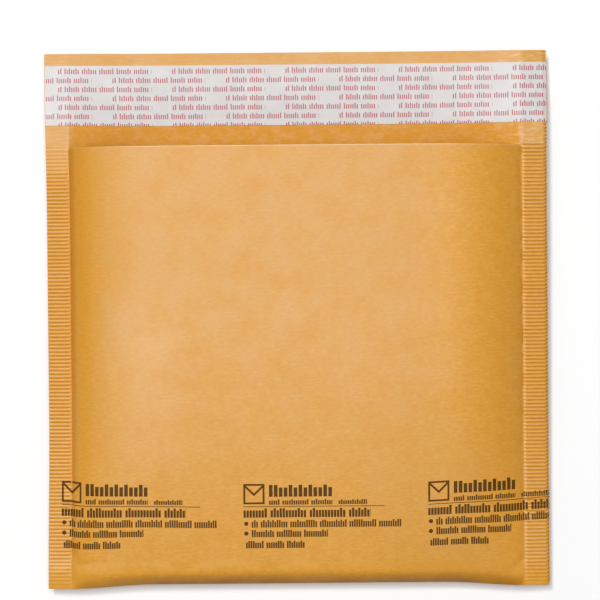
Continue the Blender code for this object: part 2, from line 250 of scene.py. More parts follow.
def crease_depth(x, v):
    """How deep the paper is creased at a point."""
    deepest = 0.0
    for (x0, v0), (x1, v1), depth in CREASES:
        run = Vector((x1 - x0, v1 - v0))
        off = Vector((x - x0, v - v0))
        share = min(max(off.dot(run) / run.length_squared, 0.0), 1.0)
        away = (off - run * share).length / CREASE_HALF_WIDTH
        taper = math.sin(math.pi * (0.15 + 0.7 * share))
        deepest = max(deepest, depth * taper * math.exp(-away * away))
    return deepest


def waves(x, v):
    """Long shallow waves of a full panel."""
    spot = Vector((x, v * 0.8, 0.0)) * WAVES_PER_METRE
    return WAVE_HEIGHT * (noise.noise(spot) + 0.5 * noise.noise(spot * 2.3 + Vector((7, 3, 1))))


def roll(x, v, depth, swell):
    """How far a sheet has turned up out of the bottom fold: 0 in the fold, 1 past it."""
    length = FOLD_ROLL * (1 + ROLL_UNEVENNESS * noise.noise(Vector((x * 55.0, 5.0, 0.0))))
    share = min(max((v - depth) / (length - depth), 0.0), 1.0)
    return 1 - (1 - share) ** swell


def laid(x, v, side, depth=0.0, tuck=0.0, weld=0.0, rib=0.0):
    """The place of a point of a sheet that lies a depth under the outside of the paper."""
    outward = max(abs(x) - pocket_edge(x), 0.0) / SEAM_WIDTH
    raised = roll(x, v, depth, CRIMP_SWELL) * (side * weld + rib)
    crimped = seam_height(v) + raised - SEAM_DROOP * outward
    flat = top_height(v) - depth if side == FRONT else depth
    flat += LIP_RISE * math.sin(math.pi / 2 * max(v - POUCH_LENGTH, 0.0) / LIP_LENGTH)
    climbed = shoulder(x, v, side, tuck) * roll(x, v, depth, FOLD_SWELL)
    z = crimped + (flat - crimped) * climbed
    if side == FRONT:
        z += waves(x, v) * climbed - crease_depth(x, v)
    draw = FOLD_DRAW * ease((HALF_POCKET - abs(x)) / FOLD_DRAW_SPREAD) * ease(1 - v / FOLD_DRAW_LENGTH)
    return Vector((x * (1 - side_draw(x, v) / HALF_POCKET), v + draw - LENGTH / 2, z))


print("Top of the pouch", round(laid(0.0, POUCH_LENGTH, FRONT).z, 4), "m up at the mouth")

# %% [markdown]
# ## The paper sheet
#
# The paper is one sheet. Its side seams are crimped: hot ribbed jaws press the two plies and the
# film between them together, and leave a row of ribs. We could draw the ribs as bump, but they
# stand proud by almost half a millimetre, so they are real. One pitch of the sheet is cut from
# a plane with bisect, its ribs are raised, an Array repeats it over the whole flat sheet, and
# then the sheet is folded. Solidify gives the paper its thickness last.

# %% Small helpers for edit mode
def start(piece_name, size, place):
    """A flat rectangle as a new object, the only one selected, ready in edit mode."""
    bpy.ops.object.select_all(action="DESELECT")
    bpy.ops.mesh.primitive_plane_add(size=1.0, location=place)
    piece = bpy.context.object
    piece.name = piece.data.name = piece_name
    piece.scale = (size[0], size[1], 1.0)
    bpy.ops.object.transform_apply(location=True, rotation=True, scale=True)
    bpy.ops.object.mode_set(mode="EDIT")
    return piece


def cut_across(places, normal):
    """Cuts the whole mesh at each place along a direction."""
    for place in places:
        bpy.ops.mesh.select_all(action="SELECT")
        bpy.ops.mesh.bisect(plane_co=[place * n for n in normal], plane_no=normal)


def pick_verts(piece, wanted):
    """Selects just the vertices whose place passes the test."""
    bpy.ops.mesh.select_mode(type="VERT")
    bpy.ops.mesh.select_all(action="DESELECT")
    mesh = bmesh.from_edit_mesh(piece.data)
    for vert in mesh.verts:
        vert.select_set(wanted(vert.co))
    mesh.select_flush(True)
    bmesh.update_edit_mesh(piece.data)


def apply_modifier(piece, kind, **settings):
    """Adds one modifier, sets it and applies it."""
    bpy.context.view_layer.objects.active = piece
    modifier = piece.modifiers.new(kind.lower(), kind)
    for name, value in settings.items():
        setattr(modifier, name, value)
    bpy.ops.object.modifier_apply(modifier=modifier.name)


def triangles(piece):
    """How many triangles a piece has."""
    piece.data.calc_loop_triangles()
    return len(piece.data.loop_triangles)


# %% One pitch of the flat sheet, with its ribs
RIBS_ON_FRONT = 119
RIB_PITCH = POUCH_LENGTH / RIBS_ON_FRONT
RIB_DEPTH = 0.00045
RIB_ROWS = (0.20, 0.80)  # shares of a pitch: the top of the rib lies between them
RIB_INSET = 0.0004  # the ribs start this far into their seam
PLAIN_BORDER = 0.0015  # the right seam's ribs stop this short of its edge
HAIR = 0.0001  # a point this close to a line counts as on it

left_seam = [-LEFT_POCKET - step for step in (0.0, 0.0005, 0.0013, 0.0035, 0.0060, 0.0083, 0.0091)]
right_seam = [HALF_POCKET + step for step in (0.0, 0.0005, 0.0013, 0.0040, 0.0070, 0.0086, 0.0091, 0.0098)]
left_climb = (0.0004, 0.0009, 0.0015, 0.0022, 0.0030, 0.0045, 0.0065, 0.009, 0.012, 0.016)
right_climb = (0.001, 0.0025, 0.0045, 0.007, 0.010, 0.0135, 0.0175, 0.022, 0.027, 0.033)
left_shoulder = [-LEFT_POCKET + step for step in left_climb]
right_shoulder = [HALF_POCKET - step for step in right_climb]
flat = [-0.070, -0.062, -0.051, -0.037, -0.021, -0.004, 0.012, 0.026, 0.039, 0.050]
columns = left_seam + left_shoulder + flat + right_shoulder + right_seam

paper = start("outer_paper_sheet", (WIDTH, RIB_PITCH), (0, RIB_PITCH / 2, 0))
cut_across(columns, (1, 0, 0))
cut_across([RIB_PITCH * share for share in RIB_ROWS], (0, 1, 0))


def on_rib(place):
    """On the top of a rib, in either seam."""
    top = RIB_PITCH * 0.1 < place.y < RIB_PITCH * 0.9
    on_left = place.x < -LEFT_POCKET - RIB_INSET
    on_right = HALF_POCKET + RIB_INSET < place.x < WIDTH / 2 - PLAIN_BORDER + HAIR
    return top and (on_left or on_right)


pick_verts(paper, on_rib)
bpy.ops.transform.translate(value=(0, 0, RIB_DEPTH))
bpy.ops.object.mode_set(mode="OBJECT")
print("One pitch has", len(paper.data.vertices), "points")

# %% The whole flat sheet
# The bottom fold lies at y = 0, the front panel above it and the back panel with the lip below.
ribs_on_back = math.ceil(LENGTH / RIB_PITCH)
for vert in paper.data.vertices:
    vert.co.y -= ribs_on_back * RIB_PITCH
apply_modifier(
    paper, "ARRAY",
    count=RIBS_ON_FRONT + ribs_on_back,
    use_relative_offset=False, use_constant_offset=True,
    constant_offset_displace=(0, RIB_PITCH, 0),
    use_merge_vertices=True, merge_threshold=0.00002,
)
bpy.ops.object.mode_set(mode="EDIT")
bpy.ops.mesh.select_all(action="SELECT")
bpy.ops.mesh.bisect(plane_co=(0, -LENGTH, 0), plane_no=(0, 1, 0), clear_inner=True)
FOLD_ROWS = (-0.00075, -0.00012, -0.00004, 0.00004, 0.00012, 0.00075)
cut_across(FOLD_ROWS, (0, 1, 0))
bpy.ops.object.mode_set(mode="OBJECT")
print("Flat sheet", [round(d, 4) for d in paper.dimensions], triangles(paper), "triangles")

# %% [markdown]
# The print and the grain must follow the paper, so the flat sheet gets its UV map before it is
# folded: U and V are metres across the sheet and along from the bottom fold, front positive.

# %% Flat coordinates as a UV map
def keep_flat_places(piece):
    """Writes each point's place on the flat sheet, in metres, as its UV."""
    layer = piece.data.uv_layers.get("flat") or piece.data.uv_layers.new(name="flat")
    for loop in piece.data.loops:
        layer.data[loop.index].uv = piece.data.vertices[loop.vertex_index].co.xy


keep_flat_places(paper)
print("Flat places kept in", [layer.name for layer in paper.data.uv_layers])

# %% Fold the sheet
PLY_GAP = 0.00016  # from the middle of a seam to the outside of a ply
PAPER = 0.00015
EDGE_CURL, EDGE_STRIP = 0.00035, 0.0008  # the right edge bends down over its last strip
NOTCH = 0.0005  # how deep the right edge is notched beside each rib
NOTCH_START, NOTCH_END = 0.1, 0.5  # along each rib's pitch, as shares of it
NOTCHED_LIP = 0.009  # the notches run on this far past the mouth
LEFT_ON_LIP, RIGHT_ON_LIP = 0.05, 0.25  # how deep the ribs are on the lip, as shares
LEFT_AT_MOUTH, LEFT_GROWTH, LEFT_GROWTH_LENGTH = 0.20, 0.68, 0.022  # and beside the pouch
RIGHT_BY_POUCH = 1.10
FOLD_FADE, FOLD_FADE_LENGTH = 0.42, 0.070  # weaker again near the fold
RIB_UNEVENNESS, RIB_NOISE_SCALE = 0.20, 160.0


def crimp_strength(x, v):
    """How deeply the jaws have pressed the sheet at a point, as a share of a full rib."""
    if v > POUCH_LENGTH:
        return LEFT_ON_LIP if x < 0 else RIGHT_ON_LIP
    uneven = RIB_UNEVENNESS * noise.noise(Vector((v * RIB_NOISE_SCALE, 2.0, 9.0)))
    worn = 1 - FOLD_FADE * ease(1 - v / FOLD_FADE_LENGTH) + uneven
    if x > 0:
        return worn * RIGHT_BY_POUCH
    return worn * (LEFT_AT_MOUTH + LEFT_GROWTH * ease((POUCH_LENGTH - v) / LEFT_GROWTH_LENGTH))


for vert in paper.data.vertices:
    x, y, height = vert.co
    v = abs(y)
    side = FRONT if y >= 0 else BACK
    rib = (height - RIB_DEPTH / 2) * crimp_strength(x, v) if abs(x) > pocket_edge(x) else 0.0
    place = laid(x, v, side, weld=PLY_GAP, rib=rib)
    if x > WIDTH / 2 - EDGE_STRIP:
        place.z -= EDGE_CURL
    if x > WIDTH / 2 - HAIR and v < POUCH_LENGTH + NOTCHED_LIP:
        place.x -= NOTCH * (NOTCH_START < (v / RIB_PITCH) % 1.0 < NOTCH_END)
    vert.co = place
apply_modifier(paper, "SOLIDIFY", thickness=PAPER, offset=-1.0, use_rim=True)
bpy.ops.object.shade_smooth_by_angle(angle=math.radians(75))
print("Folded paper", [round(d, 4) for d in paper.dimensions], triangles(paper), "triangles")
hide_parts("outer_paper")
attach(paper, "root")

# %% [markdown]
# ## The lining
#
# The lining is a sheet of clear film with rows of round air cells, folded with the paper. Its
# film is a second sheet on the same form, a little deeper. One cell is modelled as a low dome
# and copied to each place of a honeycomb, set square to the film that it sits on. Cells pushed
# up out of the film itself would need a fine grid all over, and many more faces.

# %% The film of the lining
FILM_DEPTH = 0.00022  # from the outside of the paper
FILM = 0.00012
FILM_TUCK = 0.0009  # the film stops this short of the seam
MOUTH_SETBACK = 0.001
FILM_COLUMNS, FILM_ROWS, FOLD_STEPS = 56, 96, 7
film_length = POUCH_LENGTH - MOUTH_SETBACK

film = start("bubble_film", (2 * (HALF_POCKET - FILM_TUCK), 2 * film_length), (0, 0, 0))
half_film = HALF_POCKET - FILM_TUCK
cut_across([half_film * (2 * i / FILM_COLUMNS - 1) for i in range(1, FILM_COLUMNS)], (1, 0, 0))
half_rows = FILM_ROWS // 2
steps = [FOLD_ROLL * (1 - math.cos(math.pi / 2 * i / FOLD_STEPS)) for i in range(FOLD_STEPS + 1)]
steps += [FOLD_ROLL + (film_length - FOLD_ROLL) * i / half_rows for i in range(1, half_rows)]
cut_across([-step for step in steps[1:]] + steps, (0, 1, 0))
bpy.ops.object.mode_set(mode="OBJECT")
keep_flat_places(film)
for vert in film.data.vertices:
    x, y, _ = vert.co
    v = FILM_DEPTH + abs(y) * (film_length - FILM_DEPTH) / film_length
    vert.co = laid(x, v, FRONT if y >= 0 else BACK, depth=FILM_DEPTH, tuck=FILM_TUCK)
apply_modifier(film, "SOLIDIFY", thickness=FILM, offset=-1.0, use_rim=True)
print("Film", [round(d, 4) for d in film.dimensions], triangles(film), "triangles")

# %% One air cell
CELL_PITCH = 0.0140
CELL_RADIUS = 0.0062
CELL_HEIGHT = 0.0029
CELL_SIDES = 16
CELL_GAP = 0.00003  # between a cell's foot and its film

bpy.ops.object.select_all(action="DESELECT")
bpy.ops.mesh.primitive_circle_add(
    vertices=CELL_SIDES, radius=CELL_RADIUS, fill_type="NGON", location=(0, 0, 0)
)
cell = bpy.context.object
bpy.ops.object.mode_set(mode="EDIT")
bpy.ops.mesh.select_all(action="SELECT")
# Each ring of the dome: how much narrower it is than the last one, and how much higher.
for narrowing, rise in ((0.97, 0.34), (0.90, 0.30), (0.80, 0.22), (0.58, 0.14)):
    bpy.ops.mesh.extrude_region_move(TRANSFORM_OT_translate={"value": (0, 0, CELL_HEIGHT * rise)})
    bpy.ops.transform.resize(value=(narrowing, narrowing, 1))
bpy.ops.mesh.select_all(action="SELECT")
bpy.ops.mesh.normals_make_consistent(inside=False)
bpy.ops.object.mode_set(mode="OBJECT")
print("One cell has", triangles(cell), "triangles")

# %% Where a cell stands
def film_place(x, s):
    """A point of the film's inner side, s along from the fold, front panel positive."""
    side = FRONT if s >= 0 else BACK
    return laid(x, abs(s), side, depth=FILM_DEPTH + FILM + CELL_GAP, tuck=FILM_TUCK)


def cell_frame(x, s):
    """Where a cell stands and the way that it points, into the pouch."""
    step = 0.0004
    across_film = film_place(x + step, s) - film_place(x - step, s)
    along_film = film_place(x, s + step) - film_place(x, s - step)
    return film_place(x, s), -across_film.cross(along_film).normalized()


# %% A honeycomb of cells on both walls
CELL_ROW_PITCH = CELL_PITCH * math.sqrt(3) / 2
FIRST_CELL_ROW, CELL_ROWS, CELLS_EACH_WAY = 0.0140, 14, 6
ROOM_BETWEEN = 0.0003  # from a cell's top to the middle of the pouch, at least
LOWEST_CELL = 0.3  # a cell squeezed under this share of its height is left out


def place_cell(x, s):
    """A copy of the cell on the film, lower where the two walls come close."""
    foot, up = cell_frame(x, s)
    room = (film_place(x, -s) - foot).length / 2 - ROOM_BETWEEN
    height = min(CELL_HEIGHT, room) / CELL_HEIGHT
    if height < LOWEST_CELL:
        return
    copy = cell.copy()
    copy.data = cell.data.copy()
    for vert in copy.data.vertices:
        below = film_place(x + vert.co.x, s + vert.co.y)
        vert.co = below + up * vert.co.z * height
    bpy.context.scene.collection.objects.link(copy)
    cells.append(copy)


cells = []
for row in range(CELL_ROWS):
    odd = row % 2
    for i in range(-CELLS_EACH_WAY, CELLS_EACH_WAY + 1 - odd):
        for side in (FRONT, BACK):
            x = i * CELL_PITCH + CELL_PITCH / 2 * odd
            s = side * (FIRST_CELL_ROW + row * CELL_ROW_PITCH)
            if abs(x) <= half_film - CELL_RADIUS and abs(s) <= film_length - CELL_RADIUS:
                place_cell(x, s)
bpy.data.objects.remove(cell)
print(len(cells), "cells")

# %% Join the cells to their film
bpy.ops.object.select_all(action="DESELECT")
for copy in cells:
    copy.select_set(True)
film.select_set(True)
bpy.context.view_layer.objects.active = film
bpy.ops.object.join()
film.name = film.data.name = "bubble_lining"
bpy.ops.object.shade_smooth_by_angle(angle=math.radians(50))
print("Lining", triangles(film), "triangles")
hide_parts("bubble_liner")
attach(film, "root")

# %% [markdown]
# ## The closure on the lip
#
# A band of tacky glue runs across the lip, under a release strip of white coated paper. Two
# thin boxes would cut through the lip where it rises, and a Shrinkwrap could sink into the
# ribs. So both are cut as flat bands and laid on the same form, each a hair above the last.

# %% The glue band and the release strip
STRIP_START, STRIP_END = LENGTH - 0.0295, LENGTH - 0.005
STRIP_MARGIN = 0.0002  # at both ends, from the paper's edge
STRIP_PAPER = 0.00009
STRIP_ROWS = 24
GLUE_START, GLUE_END = LENGTH - 0.02725, LENGTH - 0.00725
GLUE_MARGIN = 0.0015
GLUE = 0.00008
GLUE_ROWS = 8
SHEET_GAP = 0.00003
CLOSEST_CUT = 0.0003  # no cut comes closer to a band's end


def lay_band(name, low, high, margin, lift, thickness, rows):
    """A flat band across the lip, folded onto the form at a height over the paper."""
    half = WIDTH / 2 - margin
    band = start(name, (2 * half, high - low), (0, (low + high) / 2, 0))
    cut_across([x for x in columns if abs(x) < half - CLOSEST_CUT], (1, 0, 0))
    cut_across([low + (high - low) * i / rows for i in range(1, rows)], (0, 1, 0))
    bpy.ops.object.mode_set(mode="OBJECT")
    keep_flat_places(band)
    for vert in band.data.vertices:
        x, v, _ = vert.co
        vert.co = laid(x, v, BACK, weld=PLY_GAP) + Vector((0, 0, PAPER + lift))
        if x > WIDTH / 2 - EDGE_STRIP:
            vert.co.z -= EDGE_CURL
    apply_modifier(band, "SOLIDIFY", thickness=thickness, offset=1.0, use_rim=True)
    bpy.ops.object.shade_smooth_by_angle(angle=math.radians(60))
    print(name, [round(d, 4) for d in band.dimensions], triangles(band), "triangles")
    return band


glue = lay_band("glue_coat", GLUE_START, GLUE_END, GLUE_MARGIN, SHEET_GAP, GLUE, GLUE_ROWS)
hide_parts("adhesive_band")
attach(glue, "root")
STRIP_LIFT = 2 * SHEET_GAP + GLUE
strip = lay_band(
    "release_strip_paper", STRIP_START, STRIP_END, STRIP_MARGIN, STRIP_LIFT, STRIP_PAPER, STRIP_ROWS
)
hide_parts("release_strip")
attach(strip, "root")

# %% [markdown]
# ## Finishes
#
# Materials are built from a few shared node groups. A small helper keeps the long chains of
# Math nodes readable: each value is a number or another node's output.

# %% Helpers for node trees
def calc(tree, how, *values):
    """One Math node."""
    node = tree.nodes.new("ShaderNodeMath")
    node.operation = how
    for socket, value in zip(node.inputs, values):
        if isinstance(value, (int, float)):
            socket.default_value = value
        else:
            tree.links.new(value, socket)
    return node.outputs[0]


def product(tree, *factors):
    """Several values multiplied."""
    result = factors[0]
    for factor in factors[1:]:
        result = calc(tree, "MULTIPLY", result, factor)
    return result


def greatest(tree, *values):
    """The greatest of several values."""
    result = values[0]
    for value in values[1:]:
        result = calc(tree, "MAXIMUM", result, value)
    return result


def between(tree, value, low, high):
    """1 where a value lies between two others."""
    return product(tree, calc(tree, "GREATER_THAN", value, low), calc(tree, "LESS_THAN", value, high))


def new_group(name, inputs, outputs):
    """An empty node group with its sockets; it gives the tree and its two end nodes."""
    tree = bpy.data.node_groups.new(name, "ShaderNodeTree")
    for label, kind, value in inputs:
        socket = tree.interface.new_socket(label, in_out="INPUT", socket_type="NodeSocket" + kind)
        if value is not None:
            socket.default_value = value
    for label, kind in outputs:
        tree.interface.new_socket(label, in_out="OUTPUT", socket_type="NodeSocket" + kind)
    return tree, tree.nodes.new("NodeGroupInput").outputs, tree.nodes.new("NodeGroupOutput").inputs


def place_group(tree, group, **values):
    """A group node, with each named input set or linked."""
    node = tree.nodes.new("ShaderNodeGroup")
    node.node_tree = group
    for label, value in values.items():
        socket = node.inputs[label.replace("_", " ")]
        if isinstance(value, (int, float)):
            socket.default_value = value
        else:
            tree.links.new(value, socket)
    return node.outputs


def noise_at(tree, vector, scale, detail=3.0, rough=0.5):
    """One noise, at a number of waves for each metre."""
    node = tree.nodes.new("ShaderNodeTexNoise")
    node.inputs["Scale"].default_value = scale
    node.inputs["Detail"].default_value = detail
    node.inputs["Roughness"].default_value = rough
    tree.links.new(vector, node.inputs["Vector"])
    return node.outputs["Fac"]


def stretch(tree, vector, x, y):
    """A place scaled across and along, so that what is drawn from it is longer one way."""
    node = tree.nodes.new("ShaderNodeMapping")
    node.inputs["Scale"].default_value = (x, y, 1.0)
    tree.links.new(vector, node.inputs["Vector"])
    return node.outputs[0]


def blend(tree, share, first, second):
    """A colour mix; the share and each colour are plain values or another node's output."""
    node = tree.nodes.new("ShaderNodeMix")
    node.data_type = "RGBA"
    if isinstance(share, float):
        node.inputs["Factor"].default_value = share
    else:
        tree.links.new(share, node.inputs["Factor"])
    for socket, colour in ((node.inputs[6], first), (node.inputs[7], second)):
        if isinstance(colour, tuple):
            socket.default_value = (*colour, 1.0)
        else:
            tree.links.new(colour, socket)
    return node.outputs[2]


def map_value(tree, value, low, high, to_low=0.0, to_high=1.0):
    """A value's way from low to high, as a way from to_low to to_high, and no further."""
    node = tree.nodes.new("ShaderNodeMapRange")
    ends = {"From Min": low, "From Max": high, "To Min": to_low, "To Max": to_high}
    for label, number in ends.items():
        node.inputs[label].default_value = number
    tree.links.new(value, node.inputs["Value"])
    return node.outputs[0]


def span(tree, value, start, full, fading, end):
    """0 outside a span and 1 in its middle, with soft ends."""
    return product(tree, map_value(tree, value, start, full), map_value(tree, value, fading, end, 1.0, 0.0))


def flat_places(tree):
    """The flat sheet's coordinates: the vector, x across and y along, in metres."""
    layer = tree.nodes.new("ShaderNodeUVMap")
    layer.uv_map = "flat"
    parts = tree.nodes.new("ShaderNodeSeparateXYZ")
    tree.links.new(layer.outputs[0], parts.inputs[0])
    return layer.outputs[0], parts.outputs[0], parts.outputs[1]


def new_material(name, roughness, colour=(0.8, 0.8, 0.8)):
    """A plain material, with its node tree and its shader."""
    material = bpy.data.materials.new(name)
    material.use_nodes = True
    shader = material.node_tree.nodes["Principled BSDF"]
    shader.inputs["Roughness"].default_value = roughness
    shader.inputs["Base Color"].default_value = (*colour, 1.0)
    return material, material.node_tree, shader


def add_bump(tree, shader, height, strength, distance):
    """A bump on the shader, from a height that lies between 0 and 1."""
    node = tree.nodes.new("ShaderNodeBump")
    node.inputs["Strength"].default_value = strength
    node.inputs["Distance"].default_value = distance
    tree.links.new(height, node.inputs["Height"])
    tree.links.new(node.outputs["Normal"], shader.inputs["Normal"])


def give_finish(piece, material):
    """Makes a material the only one of a piece."""
    piece.data.materials.clear()
    piece.data.materials.append(material)
    print(piece.name, "wears", material.name, "with", len(material.node_tree.nodes), "nodes")


# %% [markdown]
# Pressed paper has two kinds of pattern: soft clouds, where the pulp lay thicker, and fine
# fibres that run mostly along the machine's direction. One group makes both, in metres on the
# flat sheet, and the kraft and the release paper use it with their own strengths.

# %% The paper group
# Clouds and fibres get their scale from the group's inputs.
paper_group, wants, gives = new_group(
    "pressed_paper",
    [("Place", "Vector", None), ("Cloud scale", "Float", 70.0), ("Fibre scale", "Float", 900.0)],
    [("Clouds", "Float"), ("Fibres", "Float"), ("Flecks", "Float")],
)
clouds = noise_at(paper_group, wants["Place"], 1.0, 4.0, 0.55)
paper_group.links.new(wants["Cloud scale"], clouds.node.inputs["Scale"])
fibres = noise_at(paper_group, stretch(paper_group, wants["Place"], 0.35, 1.0), 1.0, 3.0, 0.6)
paper_group.links.new(wants["Fibre scale"], fibres.node.inputs["Scale"])
flecks = noise_at(paper_group, stretch(paper_group, wants["Place"], 0.3, 1.0), 2100.0, 1.0, 0.5)
paper_group.links.new(clouds, gives["Clouds"])
paper_group.links.new(fibres, gives["Fibres"])
paper_group.links.new(map_value(paper_group, flecks, 0.66, 0.78), gives["Flecks"])
print("Paper group has", len(paper_group.nodes), "nodes")

# %% [markdown]
# The mailer carries lines of small print, of which only the rhythm is kept: words become rows of
# little upright strokes. One group draws one such line between two heights, and each stroke's
# height varies with its number.

# %% The word line group
SHORT_STROKE, TALL_SHARE = 0.78, 0.38  # a short stroke's height, and how many are tall, as shares

line_group, wants, gives = new_group(
    "word_line",
    [
        ("Across", "Float", 0.0), ("Up", "Float", 0.0),
        ("Start", "Float", 0.0), ("End", "Float", 0.01),
        ("Low", "Float", 0.0), ("High", "Float", 0.002), ("Pitch", "Float", 0.0013),
        ("Word", "Float", 7.0), ("Weight", "Float", 0.72), ("Seed", "Float", 0.0),
    ],
    [("Ink", "Float")],
)
from_start = calc(line_group, "SUBTRACT", wants["Across"], wants["Start"])
steps_along = calc(line_group, "DIVIDE", from_start, wants["Pitch"])
number = calc(line_group, "ADD", calc(line_group, "FLOOR", steps_along), wants["Seed"])
inside = calc(line_group, "FRACT", steps_along)
dice = line_group.nodes.new("ShaderNodeTexWhiteNoise")
dice.noise_dimensions = "1D"
line_group.links.new(number, dice.inputs["W"])
throw = dice.outputs["Value"]
in_word = calc(
    line_group, "LESS_THAN", calc(line_group, "MODULO", number, wants["Word"]),
    calc(line_group, "SUBTRACT", wants["Word"], 1.0),
)
tall = calc(line_group, "SUBTRACT", wants["High"], wants["Low"])
share_up = calc(line_group, "DIVIDE", calc(line_group, "SUBTRACT", wants["Up"], wants["Low"]), tall)
is_tall = calc(line_group, "GREATER_THAN", throw, 1 - TALL_SHARE)
top = calc(line_group, "ADD", SHORT_STROKE, product(line_group, 1 - SHORT_STROKE, is_tall))
stroke = product(
    line_group,
    between(line_group, inside, 0.0, wants["Weight"]),
    between(line_group, share_up, 0.0, top),
    in_word,
    between(line_group, wants["Across"], wants["Start"], wants["End"]),
)
line_group.links.new(stroke, gives["Ink"])
print("Word line group has", len(line_group.nodes), "nodes")

# %% [markdown]
# The print of the front is one block, repeated three times across the bottom of the mailer, so
# the first is cut by the left seam and the last by the right edge, where it climbs a little.

# %% The print group
BLOCK_PITCH = 0.0747
FIRST_BLOCK = -0.0972
# The sheet lay a little askew in the press: its print falls at the left and climbs at the right.
LEFT_FALL, RIGHT_CLIMB = 0.0013, 0.0027
RULE_LOW, RULE_HIGH, RULE_LENGTH = 0.0331, 0.0334, 0.0571
# Each line: start, end, low, high, letter pitch, letters and a gap in a word, weight.
LINES = [
    (0.0104, 0.0364, 0.0374, 0.0424, 0.00200, 30.0, 0.74),
    (0.0104, 0.0360, 0.0340, 0.0363, 0.00090, 13.0, 0.72),
    (0.0385, 0.0500, 0.0340, 0.0361, 0.00092, 30.0, 0.72),
    (0.0000, 0.0514, 0.0286, 0.0325, 0.00122, 13.0, 0.78),
    (0.0033, 0.0639, 0.0243, 0.0275, 0.00092, 13.0, 0.72),
    (0.0033, 0.0341, 0.0202, 0.0233, 0.00092, 12.0, 0.74),
    (0.0000, 0.0250, 0.0155, 0.0186, 0.00092, 9.0, 0.76),
]
BULLETS, BULLET_PLACE, BULLET_RADIUS = (0.0260, 0.0218), 0.0011, 0.00088
EMBLEM_MIDDLE, HALF_EMBLEM, EMBLEM_LINE = (0.0043, 0.0386), 0.0043, 0.0008

print_group, wants, gives = new_group(
    "front_print", [("Across", "Float", 0.0), ("Along", "Float", 0.0)], [("Ink", "Float")]
)
fallen = map_value(print_group, wants["Across"], -0.097, -0.040, LEFT_FALL, 0.0)
climbed = map_value(print_group, wants["Across"], 0.045, 0.102, 0.0, RIGHT_CLIMB)
up = calc(print_group, "SUBTRACT", calc(print_group, "SUBTRACT", wants["Along"], fallen), climbed)
from_first = calc(print_group, "SUBTRACT", wants["Across"], FIRST_BLOCK)
across_block = calc(print_group, "MODULO", from_first, BLOCK_PITCH)
marks = []
for seed, (start_x, end_x, low, high, pitch, word, weight) in enumerate(LINES):
    line = place_group(
        print_group, line_group, Across=across_block, Up=up, Start=start_x, End=end_x,
        Low=low, High=high, Pitch=pitch, Word=word, Weight=weight, Seed=seed * 31.0 + 2,
    )
    marks.append(line["Ink"])
rule = between(print_group, up, RULE_LOW, RULE_HIGH)
marks.append(product(print_group, rule, between(print_group, across_block, 0.0, RULE_LENGTH)))
for height in BULLETS:
    dx = calc(print_group, "SUBTRACT", across_block, BULLET_PLACE)
    dy = calc(print_group, "SUBTRACT", up, height)
    away = calc(print_group, "ADD", product(print_group, dx, dx), product(print_group, dy, dy))
    marks.append(calc(print_group, "LESS_THAN", calc(print_group, "SQRT", away), BULLET_RADIUS))
# A small letter sign: a square outline with a flap that comes down to its middle.
dx = calc(print_group, "ABSOLUTE", calc(print_group, "SUBTRACT", across_block, EMBLEM_MIDDLE[0]))
dy = calc(print_group, "SUBTRACT", up, EMBLEM_MIDDLE[1])
reach = greatest(print_group, dx, calc(print_group, "ABSOLUTE", dy))
marks.append(between(print_group, reach, HALF_EMBLEM - EMBLEM_LINE, HALF_EMBLEM))
within = calc(print_group, "LESS_THAN", reach, HALF_EMBLEM)
flap = between(print_group, calc(print_group, "SUBTRACT", dy, dx), -0.0009, 0.0003)
marks.append(product(print_group, within, flap))
front_only = calc(print_group, "GREATER_THAN", wants["Along"], 0.0)
ink = product(print_group, greatest(print_group, *marks), front_only)
print_group.links.new(ink, gives["Ink"])
print("Print group has", len(print_group.nodes), "nodes")

# %% [markdown]
# ## Kraft paper
#
# Golden kraft is a saturated orange brown under a soft sheen. One flat colour would look like
# plastic, and a photographed texture would bring its own light along. So the colour is laid on
# in thin layers, each one from the place on the flat sheet: first the pulp with its clouds.

# %% The pulp
KRAFT = (0.655, 0.318, 0.034)
KRAFT_DARK = (0.600, 0.266, 0.025)
KRAFT_PALE = (0.698, 0.357, 0.046)
EVENNESS = 0.6  # how far the middle tone evens out the dark and pale clouds

kraft, tree, shader = new_material("kraft", 0.46)
vector, across, along = flat_places(tree)
from_middle = calc(tree, "ABSOLUTE", across)
from_fold = calc(tree, "ABSOLUTE", along)
grain = place_group(tree, paper_group, Place=vector, Cloud_scale=75.0, Fibre_scale=1250.0)
colour = blend(tree, map_value(tree, grain["Clouds"], 0.30, 0.72), KRAFT_DARK, KRAFT_PALE)
colour = blend(tree, EVENNESS, colour, KRAFT)
print("Pulp:", len(tree.nodes), "nodes")

# %% [markdown]
# The sheet is not one tone all over. It is darker and a little duller over the left seam. Its
# other tones are painted light and shade: painted light towards the bottom and along the right
# side, which slope away from the lamps, and on the right bulge, and painted shade over the whole
# lip and on the steep side where the pouch climbs out of its left seam. Each tone is a soft mask
# from the place across and along. Masks painted by hand would do too, but they wouldn't follow
# the sizes.

# %% Where the parts of the sheet lie
POCKET_END = (0.0905, 0.0925)  # from the middle: the pouch has ended and the seam has started
FRONT_START = 0.004  # the front panel starts this far from the fold
STRIP_SHADE = (-STRIP_START - 0.004, -STRIP_START + 0.001)  # the lip below its release strip
LIP_FOOT = -POUCH_LENGTH + 0.004  # the lip's tone starts just under the mouth
LEFT_SEAM_EDGE = (-LEFT_POCKET - 0.0005, -LEFT_POCKET + 0.0005)

